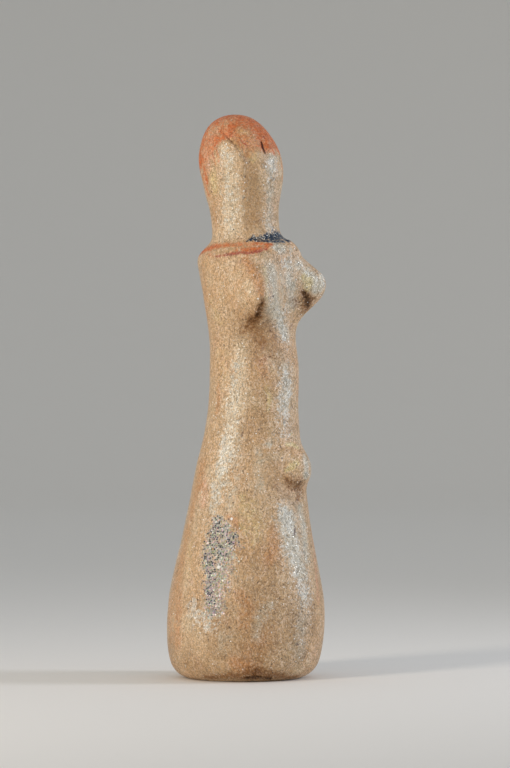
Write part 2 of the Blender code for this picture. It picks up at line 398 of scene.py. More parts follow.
paint = {
    # bearing and height in mm of the red cap's lower edge, once round the head
    "capEdge": ((-140, 160), (-105, 164), (-90, 168.5), (-72, 172), (-60, 170.5), (-48, 168.5),
                (-33, 168), (-17, 166.5), (0, 167.5), (20, 167), (40, 165), (90, 162.5), (150, 161),
                (195, 159.5)),
    "capSoft": 2.2,
    # Strokes seen in the picture: strength, then picture x and y and half width at each turn
    "seen": {
        # painted shade: the darker band down the middle between the lamp-lit sides, under the breasts and
        # towards the base, with some brown stain at the foot
        "brown": (
            (0.95, (250.5, 166, 4.4), (253, 178, 6.6), (253, 200, 8), (255, 222, 7)),
            (0.95, (247.8, 166, 2.4), (247.8, 182, 2.6), (246.6, 200, 2.6), (247.4, 228, 2.6)),
            (0.4, (246, 152, 6), (250, 160, 5)), (0.35, (240, 174, 5), (240, 206, 5)),
            (0.35, (263, 174, 5), (263, 198, 5)),
            (0.85, (234, 142, 2.4), (239.6, 149, 4.2), (246, 158, 5.4)),
            (0.7, (250, 318, 8), (256, 332, 10), (264, 344, 10), (274, 350, 7)),
            (0.6, (276, 350, 7), (279, 367, 6)), (0.8, (236, 322, 8), (240, 334, 10), (242, 348, 9)),
            (0.6, (246, 356, 9), (262, 356, 10)), (0.75, (249, 422, 7), (251, 434, 7)),
            (0.5, (192, 604, 8), (206, 612, 8), (196, 626, 9)),
            (0.5, (260, 350, 10), (262, 380, 12), (262, 430, 13)), (0.45, (240, 424, 5), (243, 440, 5)),
            (0.65, (262, 560, 20), (262, 586, 20)), (0.95, (262, 600, 22), (255, 645, 26), (250, 664, 24)),
            (0.9, (222, 612, 14), (222, 650, 16)), (0.95, (294, 616, 12), (300, 650, 12)),
            (0.6, (286, 584, 6)), (0.8, (312, 610, 8), (313, 628, 7)), (0.6, (239, 604, 6), (240, 622, 6)),
            (0.6, (313, 606, 6), (315, 640, 6)), (0.85, (188, 662, 10), (204, 669, 9)),
            (0.75, (216, 667, 7)), (0.6, (289, 667, 7)),
            (0.9, (226, 672, 5), (248, 670, 9), (264, 672, 8), (288, 675, 5)),
            (0.6, (270, 452, 10), (276, 480, 11)), (0.4, (204, 494, 6)),
            (0.4, (240, 470, 10), (244, 500, 10))),
        "pink": (
            (0.9, (212, 138, 7), (207, 152, 7), (208, 172, 5)),
            (0.6, (254, 133, 5), (262, 130, 5), (270, 140, 4)),
            (0.6, (243, 140, 5), (250, 147, 5), (257, 145, 3)), (0.15, (224, 485, 11), (226, 505, 11)),
            (0.6, (205, 482, 6), (203, 504, 7)), (0.6, (310, 520, 4), (315, 560, 4), (318, 600, 4)),
            (0.5, (296, 360, 2.4), (297, 400, 2.4)), (0.5, (262, 362, 8), (264, 372, 6)),
            (0.4, (180, 600, 6), (180, 640, 6))),
        "rust": (
            (0.95, (236, 128, 5), (244, 134, 7), (250, 140, 8), (250, 148, 6)),
            (0.95, (230, 137, 3.4), (238, 142, 4.2), (244, 149, 4), (247, 156, 3.4)),
            (0.5, (230, 120, 6), (250, 121, 6)),
            (1, (246, 260, 3.6), (254, 271, 5), (259.4, 283, 5), (262, 294, 3)),
            # painted light: the warmer orange down the left edge, on the side the left lamp lights, laid
            # with the rust stains
            (0.45, (203, 262, 5), (206, 300, 6), (208, 345, 7), (209, 400, 7), (202, 440, 6)),
            (0.7, (218, 384, 3), (219, 398, 3.6), (217, 412, 3)),
            (0.65, (202, 464, 7), (198, 488, 9), (191, 515, 9)),
            (0.6, (194, 478, 5), (187, 510, 6), (180, 545, 6), (174, 590, 6), (171, 640, 6)),
            (0.6, (187, 530, 9), (180, 570, 9), (177, 610, 9), (177, 645, 8)),
            (0.7, (272, 530, 6), (276, 545, 8), (270, 558, 7)),
            (0.6, (240, 594, 7), (248, 606, 8), (244, 624, 8)),
            (0.4, (274, 449, 5), (283, 452, 5), (280, 462, 6)),
            (1, (228, 516, 2.2), (235, 521, 3.2), (240, 529, 2.6)), (0.5, (262, 640, 14), (246, 655, 12)),
            (0.5, (304, 485, 2.6), (304, 493, 3)), (0.8, (236, 664, 8), (250, 666, 9)),
            (0.5, (213, 205, 4), (216, 226, 4)), (0.5, (312, 268, 2.4), (318, 274, 2)),
            (0.4, (302, 640, 8), (306, 660, 6))),
        "yellow": (
            (0.7, (212, 176, 6), (215, 190, 5)), (0.6, (241, 131, 2.6), (247, 133, 2.4)),
            (0.5, (256, 156, 4), (252, 160, 4)),
            (0.5, (231.5, 139, 1.2), (238, 147, 1.4), (243.5, 155, 1.4)),
            (1, (304, 277, 3.2), (309, 282, 4.8), (307, 288, 3.6)),
            (0.45, (264.6, 268, 2.4), (267, 284, 2.8), (266, 298, 2.4)),
            (0.6, (266, 388, 2.6), (270, 396, 2.8), (268, 410, 2.2)), (0.9, (291.5, 434, 1.4)),
            # the pale yellow along the navel boss's upper edge is painted highlight as well as yellow stain
            (1, (286.5, 444.4, 1.6), (292, 444.6, 2.4), (298, 447.6, 2)),
            (1, (286, 470.5, 2), (291.5, 467, 3.2), (297, 463, 3)),
            (0.5, (243, 498, 6), (249, 514, 10), (257, 528, 10), (255, 542, 7)),
            (0.7, (241, 524, 3), (245, 532, 3)), (0.4, (190, 545, 6), (187, 575, 6)),
            (0.4, (212, 300, 6), (220, 322, 6)), (0.35, (222, 352, 6), (226, 380, 6))),
        # painted highlight: the pale, cool strips and patches where the lamps shine, over some pale bloom
        # on the clay
        "bloom": (
            (0.4, (231, 160, 6), (230, 178, 8), (232, 200, 7), (232, 228, 6)),
            (0.45, (224.6, 150, 3.2), (228, 156, 4.8)), (0.85, (273, 158, 5), (271, 170, 6)),
            (0.62, (270, 186, 6), (270, 206, 5), (269, 226, 5)), (1, (275, 247, 4), (283, 249, 5)),
            (0.7, (291, 250, 4)), (0.4, (266, 254, 3), (278, 255, 4)),
            (0.9, (272, 270, 7), (274, 284, 9), (275, 304, 11), (280, 318, 8), (286, 336, 6)),
            (0.8, (288, 262, 6), (290, 284, 7), (290, 304, 8)), (0.55, (281, 274, 5), (282, 302, 6)),
            (1, (322, 277, 4), (319, 288, 5)), (0.8, (299, 266, 5)),
            (1, (309, 275, 7), (316, 284, 7), (315, 291, 4)),
            (0.8, (286, 368, 5), (287, 384, 7), (285, 404, 7)), (0.35, (285, 412, 5), (283, 434, 5)),
            (0.45, (238, 362, 6), (233, 404, 7), (226, 448, 7)),
            (0.6, (226, 452, 7), (221, 474, 8), (216, 498, 6), (212, 512, 4)),
            (0.95, (305, 457, 3), (306.6, 466, 4), (306, 476, 3.4)),
            (0.75, (308.6, 460, 3), (311, 468, 3.6), (309.6, 476, 3)), (0.5, (259, 448, 4), (260, 491, 4)),
            (0.4, (237, 450, 6), (237, 478, 6), (229, 498, 7), (229, 514, 5)),
            (1, (284, 512, 5), (288, 519, 9), (290, 533, 10), (295, 553, 10), (300, 572, 9)),
            (0.65, (304, 582, 8), (305, 597, 8)), (0.8, (300, 508, 5), (304, 530, 6), (306, 560, 6)),
            (0.55, (303, 622, 10), (300, 650, 11)), (0.5, (203, 602, 5), (208, 622, 6)),
            (0.4, (226, 636, 8), (222, 650, 7)), (0.5, (272, 603, 5), (260, 617, 5), (256, 637, 5)),
            (0.7, (268, 445, 3), (272, 442, 2.4))),
        # painted highlight: the warm, pale strips and patches where the lamps shine
        "cream": (
            (0.85, (222, 146, 1.8), (224, 151, 4.6), (228, 160, 8), (230, 178, 10), (231, 200, 10),
             (231, 230, 9)), (0.8, (241, 346, 8), (240, 372, 8), (235, 410, 9), (228, 446, 9)),
            (0.85, (226, 452, 8), (221, 474, 9)), (0.5, (219, 488, 8), (216, 506, 7)),
            (0.6, (228, 484, 7), (230, 502, 7)), (0.8, (246, 284, 5), (250, 291, 4)), (0.6, (240, 296, 7)),
            (0.6, (265, 270, 3), (267, 286, 3.4), (266, 299, 3)), (0.5, (276, 455, 8), (300, 462, 7)),
            (0.3, (196, 600, 7), (204, 624, 10)), (0.4, (222, 268, 8), (222, 290, 8)),
            (0.5, (230, 264, 6), (231, 288, 7))),
        "abraded": (
            (1, (218, 522, 5), (215, 534, 7), (211, 549, 7.4), (208.6, 561, 6.4), (211, 574, 4.6),
             (209, 588, 4.6), (212.6, 602, 5)), (0.98, (224, 531, 7), (229, 543, 8), (224, 553, 10)),
            (0.75, (222, 562, 10), (219, 580, 10), (216, 596, 9), (213, 610, 8))),
        "flecked": (
            (1, (218, 521, 4), (214, 536, 5), (210.4, 550, 6.6), (207.6, 561, 6), (210, 574, 4),
             (207.4, 587, 4.2), (212, 602, 4)), (0.9, (223, 530, 5), (230, 541, 5.5), (233, 547, 3)),
            (1, (219, 549, 8), (215.5, 562, 7)), (0.45, (216, 580, 8), (213, 606, 8))),
        "ochre": (
            (0.9, (202.6, 156, 3.4), (204.5, 170, 5), (207, 183, 3.4)),
            (0.8, (210.5, 150, 1.6), (213, 157, 2), (215, 164, 1.4)),
            (0.7, (216, 148, 1.3), (218, 156, 1.8), (219, 162, 1.3)),
            (0.9, (227, 131, 3), (234, 135, 3), (240, 140, 2.6)), (0.5, (229, 139, 2.4)),
            (0.8, (240, 144, 2.2), (246, 147.5, 2.6), (252, 147, 2)),
            (0.9, (266, 140, 3.6), (271, 147, 4.4), (274, 153, 2.8)),
            (1, (201, 253, 4), (209, 248.4, 4.6), (221, 245.6, 3.8), (233, 244.6, 3.4), (247, 244.6, 3.6),
             (257, 243.8, 3.6), (266, 244.6, 3.4), (271, 244.4, 2.2)),
            (1, (245, 249.4, 4.2), (257, 248.6, 4.2), (267, 247, 3.4)),
            (0.45, (206, 255, 3), (220, 255.8, 2.4)), (0.75, (222, 251, 3), (236, 249.8, 3.4))),
        "darkOchre": (
            (0.85, (216, 256.6, 1.4), (230, 254.2, 2.1), (240, 252.6, 2), (248, 253.3, 1.9),
             (257, 251.5, 1.7), (267, 249, 1.3)), (0.4, (222, 119, 4), (236, 117, 5), (252, 121, 5)),
            (0.9, (261.8, 138.4, 0.9), (263, 136.6, 0.9), (264.4, 138.6, 0.8)),
            (0.8, (241.6, 140.6, 0.9), (243.2, 143, 0.9), (246.6, 145.4, 0.9)),
            (0.5, (236, 145, 0.8), (241, 147.4, 0.8), (247, 147.4, 0.7)),
            (0.6, (229, 134, 1.4), (236, 139, 1.4)), (0.6, (212, 152, 0.9), (214, 158, 0.9))),
        "residue": (
            (0.9, (247, 241.4, 0.9), (251, 240, 1.5), (253.6, 237.4, 1.8)),
            (0.95, (256, 239, 2.4), (263, 238, 3.2), (270, 236.8, 3.9), (277, 235.6, 4.1)),
            (1, (271, 239.8, 2.4), (277, 238.4, 3.6), (282, 236.6, 4.4), (285, 239.2, 3.2),
             (288.4, 241, 1.8)),
            (1, (256, 240.8, 1.2), (266, 241.2, 1.6), (274, 241.4, 1.6), (284, 241.6, 1.8)),
            (0.8, (207, 589.6, 1.2), (210.6, 585, 1.1))),
        # soot, and painted shade under the breasts, under the navel and along the foot
        "sootFade": (
            (0.9, (262.6, 300, 2.6), (260.6, 310, 4.4), (256, 319, 6.5), (250, 327, 6.5)),
            (0.55, (246, 320, 7), (243, 334, 8)), (0.5, (263, 316, 5), (262, 332, 6)),
            (0.5, (260, 355, 8), (274, 356, 7)), (0.45, (250, 332, 7), (251, 347, 6)),
            (0.75, (257, 332, 8), (262, 343, 7)), (0.6, (266, 318, 6), (272, 332, 7), (276, 343, 4)),
            (0.95, (304, 294, 4.4), (307, 301, 7), (306, 309, 6)), (0.25, (284, 298, 6)),
            (0.55, (290, 300, 6), (301, 304, 7)),
            (0.85, (288, 481, 5), (298, 486, 7), (299, 494, 6), (298, 500, 4)),
            (0.5, (277, 484, 6), (286, 494, 7)), (0.28, (298, 618, 9), (306, 624, 8)),
            (0.95, (206, 677, 3), (232, 676, 5), (256, 673, 9), (276, 676, 6), (296, 677, 3))),
        # soot, and painted shade in the darkest parts under the breasts, the navel and at the foot
        "soot": (
            (0.9, (261.8, 303, 1.5), (260.6, 307, 2.6), (258.6, 312, 3), (256.6, 316, 3.6)),
            (0.7, (256, 316, 4.2), (253, 321, 5)), (0.5, (250.6, 324, 4.8), (247, 329, 4)),
            (1, (303.4, 291.6, 2.4), (306, 297, 3.8), (307.4, 302, 4.4), (308, 306, 3.2)),
            (0.5, (310, 300, 3.4), (314, 299, 2.8)), (0.4, (301, 300, 5), (295, 301, 5)),
            (0.55, (289, 482, 3.6), (295, 483, 4.8), (300.4, 484, 3.6)),
            (0.6, (291, 488, 4.6), (297, 489, 5.4), (301, 490, 3.6)),
            (0.45, (296.6, 494, 5), (298, 498, 3.8)),
            (1, (246, 678, 2.6), (258, 677, 3.4), (270, 678, 2.6)), (0.6, (256, 672, 5))),
        # painted shade: dark in the slit, along the crease and in the small pits and dents
        "cut": (
            (0.9, (261.6, 142.2, 0.6), (262.7, 147.5, 0.8), (265.2, 153, 0.55)),
            (0.5, (265.6, 154, 0.5), (268, 158.6, 0.45)),
            (0.5, (225, 134.6, 0.5), (229.6, 140, 0.8), (234, 145, 0.6)),
            (0.45, (234, 145, 0.6), (240.6, 154.4, 0.7), (244, 160.4, 0.6)), (0.6, (249.8, 161.9, 1)),
            (0.7, (245.4, 176.6, 1)), (0.7, (244.4, 198.3, 1)), (0.5, (232.5, 204, 0.9)),
            (1, (273, 296.3, 1.1)), (0.7, (230.7, 298.7, 0.9)), (0.5, (283, 360, 1.2)),
            (1, (297.6, 500.4, 1.1)), (1, (304.5, 545.5, 1.1)), (0.9, (265.6, 589.4, 1.1)),
            (0.8, (265.6, 595.7, 0.9)), (1, (297.4, 644.5, 1.1)), (0.8, (295, 529, 1.2), (294.4, 535, 1.2)),
            (0.6, (243, 431, 1.2), (241.6, 437, 1.2)), (0.7, (281, 447.6, 1.1)), (0.6, (286.6, 450.4, 0.9)),
            (0.6, (305.4, 454.4, 0.9)), (0.6, (301, 475.4, 0.9))),
        "worn": (       # where the paint is rubbed off
            (0.4, (212, 132, 8), (207, 150, 7), (210, 168, 6)), (0.3, (224, 124, 8)),
            (0.55, (240, 131, 5), (248, 134, 6)), (0.55, (248, 141, 8), (254, 148, 7)),
            (0.45, (222.6, 142.4, 1.3), (224.6, 147, 2.4)),
            (0.95, (224.6, 149, 4), (230, 156, 5.6), (235, 162, 5)),
            (0.8, (215, 252.4, 2.2), (223.5, 250.6, 2.4), (232, 249.8, 1.8)),
            (0.22, (222, 244.6, 3), (245, 244.6, 3.4), (262, 246, 4))),
        "frost": (      # painted highlight: the brightest, coolest parts of the shine
            (0.8, (226, 438, 6), (225, 455, 7), (222, 469, 7)), (0.5, (219, 485, 9), (214, 505, 8)),
            (0.9, (283, 509, 5), (286, 518, 8), (289, 530, 8)), (0.6, (293, 552, 9), (299, 574, 9)),
            (0.7, (302, 588, 8), (306, 600, 7)), (0.7, (193, 604, 6), (198, 620, 7), (208, 624, 6)),
            (0.45, (238, 362, 5), (235, 400, 7), (230, 436, 7)),
            (0.6, (286, 370, 6), (285, 398, 8), (284, 430, 7)), (0.5, (272, 163, 6), (272, 178, 5)),
            (0.3, (230, 184, 9), (229, 222, 8)), (0.4, (268, 224, 5)), (0.4, (284, 262, 6), (290, 262, 4)),
            (0.8, (323.4, 278, 2.2), (324, 285, 2.2)), (0.5, (302, 268, 6), (315, 280, 6)),
            (0.5, (281, 316, 8), (285, 338, 6)), (0.6, (224.6, 150, 4), (228, 158, 5))),
        "peppered": (   # fine dark specks
            (0.8, (274, 306, 10), (280, 324, 10)), (0.9, (286, 297, 6), (296, 300, 6), (304, 306, 6)),
            (0.6, (286, 276, 3), (288, 290, 3)), (0.7, (252, 326, 9), (246, 338, 8)),
            (0.35, (222, 484, 9), (228, 500, 9)), (0.7, (292, 484, 9), (298, 496, 7)),
            (0.9, (298, 614, 9), (302, 648, 10)), (0.9, (311, 606, 7), (313, 640, 8)),
            (0.4, (254, 596, 12), (282, 612, 10)), (0.6, (256, 674, 12), (288, 670, 10)),
            (0.5, (282, 445, 5), (278, 456, 6))),
        "rubbed": (     # smoothed by handling, so the wiping marks are faint
            (0.75, (252, 152, 8), (254, 180, 8), (253.5, 205, 9), (255, 226, 8)),
            (0.5, (236, 126, 12), (256, 128, 12)),
            (0.6, (206, 265, 7), (209, 340, 8), (211, 400, 8), (203, 445, 7)),
            (0.6, (197, 480, 8), (188, 530, 9), (178, 590, 8), (176, 640, 7)),
            (0.5, (316, 570, 4), (320, 610, 5)), (0.4, (276, 280, 7), (277, 300, 7)),
            (0.5, (252, 320, 9), (262, 338, 10)), (0.5, (262, 470, 10), (284, 488, 9)),
            (0.4, (214, 650, 12), (190, 640, 10))),
        # painted glints: near-white spots
        "glint": (
            (1, (266, 166.6, 1)), (1, (258, 298.7, 0.9)), (1, (291, 262, 1.1)), (0.8, (284, 266, 1.2)),
            (0.7, (270.4, 158.6, 0.9)), (0.6, (281, 319.6, 1)), (0.7, (271, 445, 1.2)),
            (0.8, (251.6, 358, 0.8)), (0.8, (254.7, 358, 0.8)), (0.9, (253.3, 396.7, 0.8)),
            (0.8, (269, 398, 0.8)), (1, (222, 463, 1.1)), (1, (218.7, 567.2, 1.7)),
            (0.9, (195, 618.6, 1.3)), (0.8, (272, 603, 1.2)), (0.8, (258, 616, 1.1)),
            (0.9, (256, 635, 1.2)), (0.9, (185.4, 664, 0.8), (186, 667, 0.9)), (1, (231.6, 518.8, 1.3)),
            (0.9, (216, 521.8, 1.1)), (0.7, (228.6, 545.4, 0.8), (235, 550, 0.8)), (0.7, (302, 560, 0.8))),
    },
    # The same paint carried on round the side that the picture hides: strength, then bearing,
    # height in mm and half width in mm
    "hidden": {
        "ochre": (
            (0.9, (-138, 136.6, 1.1), (-165, 137, 1.2), (-195, 137.4, 1)),
            (0.5, (-195, 137.4, 1), (-225, 137.8, 0.8)),
            (0.7, (26, 166, 0.7), (25, 162, 0.6), (27, 158.5, 0.4)), (0.7, (58, 163, 0.9), (60, 158, 0.7)),
            (0.6, (98, 161, 1.1), (102, 156.5, 0.8)), (0.7, (150, 159, 1), (148, 153, 0.8)),
            (0.6, (190, 158, 1.2), (194, 152, 0.8)), (0.7, (-125, 160, 1.4), (-118, 154, 0.9))),
        "residue": (
            (0.9, (38, 139.6, 0.6), (55, 139.8, 0.7), (72, 139.6, 0.5)),
        ),
        "darkOchre": (
            (0.6, (-150, 135.6, 0.4), (-185, 136, 0.4)), (0.5, (70, 172, 2), (110, 173, 2)),
            (0.5, (180, 170, 2))),
        "worn": (
            (0.7, (48, 166, 1.6), (70, 165, 1.2)), (0.38, (60, 172, 3), (110, 173, 3.5)),
            (0.32, (160, 168, 3.5), (215, 170, 3.5)), (0.6, (120, 165, 2), (140, 168, 1.6)),
            (0.6, (200, 164, 2.2)), (0.8, (-175, 136.6, 0.7), (-188, 136.9, 0.6))),
        # painted shade along the foot all round and under the breasts, with soot
        "sootFade": (
            (0.7, (40, 1, 1.2), (90, 0.8, 1.6), (150, 0.8, 1.2)), (0.6, (200, 0.8, 1.2), (235, 0.8, 1.4)),
            (0.6, (66, 118, 1.8), (72, 114, 2)), (0.5, (160, 126, 2.2), (168, 120, 2.4))),
        # painted highlight strips round the hidden side, with some pale bloom
        "bloom": (
            (0.5, (60, 22, 4), (66, 45, 4.5), (66, 78, 3.5), (62, 100, 2.5)),
            (0.45, (150, 30, 4.5), (158, 70, 3.5), (155, 112, 3)), (0.45, (100, 146, 2.2), (104, 160, 2.6)),
            (0.45, (225, 30, 4), (222, 60, 3.5), (222, 100, 2.5))),
        # painted highlight strips round the hidden side
        "cream": (
            (0.8, (84, 18, 5), (88, 60, 4.5), (86, 110, 3.5)), (0.7, (62, 24, 6), (66, 60, 6), (64, 98, 4)),
            (0.7, (151, 30, 6), (157, 80, 5)), (0.7, (60, 146, 2.4), (58, 158, 2.4)),
            (0.7, (185, 25, 5), (188, 80, 4), (186, 130, 3)), (0.7, (165, 146, 2.6), (168, 156, 2.6))),
        # painted highlight, the brightest parts, round the hidden side
        "frost": (
            (0.7, (62, 30, 2.6), (66, 60, 2.6)), (0.6, (153, 40, 2.8), (157, 90, 2.2)),
            (0.6, (223, 40, 2.6))),
        # painted shade: darker bands between the lit strips and darker towards the bottom all round, with
        # some brown stain
        "brown": (
            (0.7, (110, 30, 6), (115, 80, 5), (110, 120, 4)),
            (0.85, (45, 9, 7), (75, 7, 6), (110, 10, 8), (150, 8, 7), (190, 10, 7), (232, 7, 6)),
            (0.6, (30, 30, 5), (34, 60, 4)), (0.6, (205, 70, 4), (206, 110, 3))),
        "rust": (
            (0.6, (130, 55, 3), (128, 90, 3)), (0.5, (180, 100, 3), (185, 125, 2.5)),
            (0.6, (70, 128, 2.6), (74, 120, 2.4)), (0.6, (40, 90, 2.4), (44, 76, 2.4)),
            (0.6, (235, 20, 4), (240, 40, 3))),
        "pink": (
            (0.6, (50, 35, 4), (48, 55, 3)), (0.6, (170, 60, 4)), (0.6, (100, 125, 3))),
        "yellow": (
            (0.6, (92, 60, 3), (95, 70, 3)), (0.5, (140, 118, 2.4)), (0.5, (210, 50, 3)),
            (0.5, (80, 150, 2))),
        "abraded": (
            (0.9, (170, 36, 1.8), (174, 43, 2.6), (177, 50, 1.8)),
        ),
        "flecked": (
            (0.8, (169, 37, 1.4), (172, 44, 1.8)),
        ),
        "peppered": (
            (0.7, (70, 114, 3)), (0.6, (164, 122, 3)), (0.6, (100, 12, 4), (140, 10, 4))),
        # painted shade in small pits
        "cut": (
            (1, (75, 52, 0.35)), (0.9, (96, 88, 0.3)), (1, (142, 40, 0.35)), (0.9, (150, 98, 0.3)),
            (0.9, (178, 74, 0.35)), (0.8, (120, 150, 0.3)), (0.9, (215, 84, 0.35)), (0.8, (60, 20, 0.35))),
        # painted glints round the hidden side
        "glint": (
            (1, (64, 44, 0.35)), (0.9, (88, 72, 0.3)), (0.9, (156, 58, 0.35)), (0.9, (186, 96, 0.3)),
            (0.9, (102, 154, 0.3)), (0.9, (172, 42, 0.4)), (0.9, (224, 52, 0.35)), (0.8, (118, 24, 0.3))),
    },
}


points = readSkin(skinMesh)
skinTree = skinShape(skinMesh, points)
masks = {}
for name, strokes in paint["seen"].items():
    values = np.zeros(len(points))
    if name == "ochre":
        turns, heights = zip(*paint["capEdge"])
        edge = np.interp(np.degrees(np.arctan2(points[:, 0], -points[:, 1])), turns, heights, period=360)
        values = softStep(points[:, 2] * 1000 - edge, -paint["capSoft"], paint["capSoft"])
    laid = [(strength, seenStops(skinTree, stops)) for strength, *stops in strokes]
    laid += [(strength, hiddenStops(skinTree, stops)) for strength, *stops in paint["hidden"].get(name, ())]
    for strength, stops in laid:
        values = np.maximum(values, bell(strokeReach(points, stops)) * strength)
    masks[name] = values
masks["ochre"] = masks["ochre"] * (1 - masks.pop("worn"))
for name, values in masks.items():
    mask = skinMesh.attributes.new(name, "FLOAT", "POINT")
    mask.data.foreach_set("value", np.clip(values, 0, 1).astype(np.float32))
print("masks painted")


# Micaceous earthenware: low-fired sandy clay, wiped with a wet hand, with mica flakes in it.
# Dry and soft to the eye, with a faint burnish that the flakes break into glitter, and painted highlights
# and glints over it.

clay = {
    "colours": {
        "tan": "#cbaa82", "warm": "#cd9f6d", "rosy": "#cfa487", "olive": "#b9a179", "pale": "#dfcaa8",
        # the brown stands for painted shade as well as stain, and the rust also paints the warm lit left
        # side
        "brown": "#a98459", "pink": "#d99670", "rust": "#c28247", "yellow": "#d9c489",
        # the cream, bloom and frost are painted highlights, the bloom over some pale film, and the strand
        # lift is a painted highlight on raised marks
        "cream": "#dcc5a2", "bloom": "#c5c5b5", "frost": "#dddbd2", "strandHighlight": "#a2a6a9",
        "abraded": "#aeaca6", "navy": "#202936", "crumbLight": "#e8e4da", "crumbWarm": "#a98f4f",
        "ochre": "#cc6626", "ochreThin": "#d3905f", "darkOchre": "#a5432f", "darkOchreThin": "#bf7152",
        # the soot colours also stand for painted shade under overhangs and along the foot
        "residue": "#00304c", "residueThin": "#4f7688", "soot": "#442608", "thinSootAndShade": "#875418",
        # the cut colour is painted shade in hollows, and the glint colour is painted glints
        "cut": "#43191a", "speck": "#4a3828", "mica": "#f5e9d3", "glint": "#fbf8f2",
    },
    # Patterns: size in mm, detail, roughness. The finest are drawn no finer than shows.
    "clouds": {"blotch": (21, 3, 0.55), "mottle": (6.5, 3, 0.55), "hue": (4.2, 3, 0.6),
               "edge": (2.0, 4, 0.65), "grit": (0.8, 2, 0.6), "dent": (1.15, 2, 0.6)},
    # Slow changes of tone: pattern, where it starts and ends, strength, colour
    "tones": (("blotch", 0.40, 0.66, 0.55, "warm"), ("mottle", 0.52, 0.74, 0.45, "pale"),
              ("hue", 0.56, 0.74, 0.40, "rosy"), ("hue", 0.44, 0.28, 0.40, "olive")),
    # Layers from the bottom up: mask, raggedness, where it starts and ends, strength, thin and
    # thick colour. "flecked" has no strength, as it only says where the dark crumbs lie.
    "layers": (
        # painted shade, with some brown stain
        ("brown", 0.5, 0.10, 0.95, 0.62, "brown", "brown"),
        ("pink", 0.7, 0.15, 0.90, 0.60, "pink", "pink"),
        # rust stains, and the painted warm lit left side
        ("rust", 0.7, 0.15, 0.95, 0.62, "rust", "rust"),
        # painted highlight, warm
        ("cream", 0.9, 0.10, 1.05, 0.80, "cream", "cream"),
        # painted highlight, with some pale bloom
        ("bloom", 0.85, 0.10, 1.05, 0.70, "bloom", "bloom"),
        # painted highlight, the brightest
        ("frost", 2.6, 0.20, 1.10, 0.62, "frost", "frost"),
        ("yellow", 0.9, 0.20, 0.95, 0.75, "yellow", "yellow"),
        ("flecked", 0.7, 0.10, 0.95, 0.0, "navy", "navy"),
        ("abraded", 1.5, 0.15, 0.85, 0.80, "abraded", "abraded"),
        ("ochre", 1.0, 0.12, 1.15, 0.98, "ochreThin", "ochre"),
        ("darkOchre", 0.9, 0.20, 1.00, 0.85, "darkOchreThin", "darkOchre"),
        # soot, and painted shade under overhangs and along the foot
        ("sootFade", 1.1, 0.15, 1.15, 0.80, "thinSootAndShade", "thinSootAndShade"),
        ("soot", 1.1, 0.12, 1.10, 0.90, "thinSootAndShade", "soot"),
        ("residue", 1.3, 0.12, 0.80, 0.97, "residueThin", "residue"),
        # painted shade in the slit, the crease and the pits
        ("cut", 0.2, 0.25, 0.75, 0.90, "cut", "cut"),
    ),
    # How fast a layer may thicken from its painted edge, so that bare clay stays bare
    "edgeGain": 8,
    # Each "Edge" below is where a cell of a pattern starts to show and where it shows fully,
    # counted from the cell's middle, or the same of a painted mask.
    # Crumbs of the worn patches: the mask that each colour follows and its largest share
    "crumbMm": 0.62, "crumbEdge": (0.62, 0.34),
    "crumbs": {"crumbWarm": ("abraded", 0.10), "crumbLight": ("abraded", 0.20), "navy": ("flecked", 0.50)},
    "wearHue": 0.42,        # how far the grains there differ in hue
    "grainMm": 0.38,        # sand grains are finer, but this is the smallest that shows
    "grainContrast": 0.26, "grainTilt": 0.24,
    # Mica flakes, drawn about as big as the brightest ones, and the few that catch the light fully, painted
    # near-white as glints
    "flakeMm": 0.44, "flakeEdge": (0.60, 0.35), "flakeTilt": 0.42, "flakeRoughness": 0.10,
    # flakes and painted glints are more frequent in the painted highlights and the residue
    "flakeShare": 0.10, "flakeInHighlight": 0.22, "flakeInResidue": 0.20,
    "sparkShare": 0.004, "sparkInHighlight": 0.05, "sparkInResidue": 0.06,
    "micaStrength": 0.30, "micaOnResidue": 0.75, "micaUnderPaint": 0.3,
    "glintEdge": (0.35, 0.75),
    # Wiping marks: width and length in mm, and the ways in degrees that they lie
    "strandWide": 0.52, "strandLong": 4.0, "strandTurns": (-62, -30, 4, 36, 70),
    "strandEdge": (0.50, 0.20), "strandShade": 0.32, "strandOnPaint": 0.25,
    "brightness": (0.3, 0.6, 0.1),          # what red, green and blue each add to it
    "warpMm": 5.0, "warpReachMm": 2.4,      # the marks curl a little as the hand turns
    "speckMm": 1.3, "speckEdge": (0.30, 0.12), "speckStrength": 0.75,
    "speckShare": 0.03, "speckInPepper": 0.45,
    "roughness": 0.42, "roughnessSway": 0.10, "roughnessOfPaint": 0.16, "shine": 0.5,
    # the last share is for the soot and its painted shade
    "metal": {"flake": 0.4, "residue": 0.5, "soot": 0.7},
    "bumpMm": 0.13,
    "relief": {"strand": 0.55, "grain": 0.35, "dent": 0.9, "speck": -0.8},      # against the grit's 1
}


